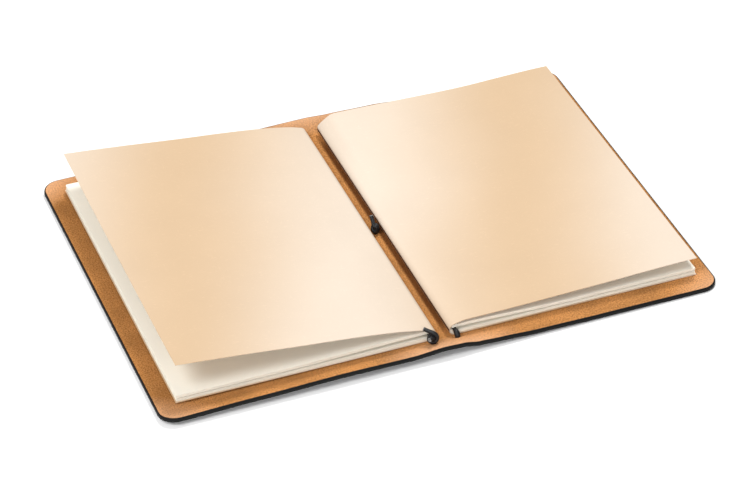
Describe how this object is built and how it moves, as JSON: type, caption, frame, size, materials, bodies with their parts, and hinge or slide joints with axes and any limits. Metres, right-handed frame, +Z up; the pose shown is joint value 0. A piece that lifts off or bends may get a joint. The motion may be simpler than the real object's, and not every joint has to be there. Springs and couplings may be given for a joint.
{
  "type": "refillable leather sketchbook",
  "caption": "Thick leather cover lying open with two kraft-covered drawing booklets held side by side at the spine by round elastic.",
  "frame": {"origin": "on the surface the open book lies on, under the middle of the cover", "axes": "+X across the open book to the right cover, +Y along the spine to the back edge, +Z up out of the pages"},
  "size_m": [0.324, 0.237, 0.0296],
  "materials": {
    "leather": "matte suede inside, black grain outside",
    "kraft": "matte",
    "paper": "matte",
    "elastic": "woven matte"
  },
  "bodies": {
    "left_cover": {"left_cover_panel": "leather"},
    "spine": {"spine_strip": "leather", "booklet_elastic": "elastic", "booklet_elastic_knot": "elastic", "closure_elastic_knot": "elastic"},
    "right_cover": {"right_cover_panel": "leather"},
    "left_booklet": {"left_kraft_lower_cover": "kraft", "left_lower_leaves": "paper"},
    "left_pages": {"left_upper_leaves": "paper"},
    "left_kraft_top": {"left_kraft_top_cover": "kraft"},
    "right_booklet": {"right_kraft_lower_cover": "kraft", "right_lower_leaves": "paper"},
    "right_pages": {"right_upper_leaves": "paper"},
    "right_kraft_top": {"right_kraft_top_cover": "kraft"}
  },
  "joints": [
    {"name": "spine_fold", "type": "hinge", "parent": "left_cover", "child": "spine", "pos_m": [-0.0115, 0, 0.0028], "axis": [0, -1, 0], "range_deg": [0, 90]},
    {"name": "right_cover_fold", "type": "hinge", "parent": "spine", "child": "right_cover", "pos_m": [0.0115, 0, 0.0028], "axis": [0, -1, 0], "range_deg": [0, 90]},
    {"name": "left_booklet_turn", "type": "hinge", "parent": "spine", "child": "left_booklet", "pos_m": [-0.0072, 0, 0.007], "axis": [0, 1, 0], "range_deg": [0, 90]},
    {"name": "right_booklet_turn", "type": "hinge", "parent": "spine", "child": "right_booklet", "pos_m": [0.0072, 0, 0.007], "axis": [0, -1, 0], "range_deg": [0, 90]},
    {"name": "left_pages_turn", "type": "hinge", "parent": "left_booklet", "child": "left_pages", "pos_m": [-0.0072, 0, 0.007], "axis": [0, -1, 0], "range_deg": [-38, 0]},
    {"name": "right_pages_turn", "type": "hinge", "parent": "right_booklet", "child": "right_pages", "pos_m": [0.0072, 0, 0.007], "axis": [0, 1, 0], "range_deg": [-38, 0]},
    {"name": "left_kraft_turn", "type": "hinge", "parent": "left_pages", "child": "left_kraft_top", "pos_m": [-0.0072, 0, 0.007], "axis": [0, -1, 0], "range_deg": [-42, 7]},
    {"name": "right_kraft_turn", "type": "hinge", "parent": "right_pages", "child": "right_kraft_top", "pos_m": [0.0072, 0, 0.007], "axis": [0, 1, 0], "range_deg": [-48, 2]}
  ],
  "couplings": [
    {"joint": "left_booklet_turn", "follows": "spine_fold", "ratio": 1},
    {"joint": "right_booklet_turn", "follows": "right_cover_fold", "ratio": 1}
  ]
}
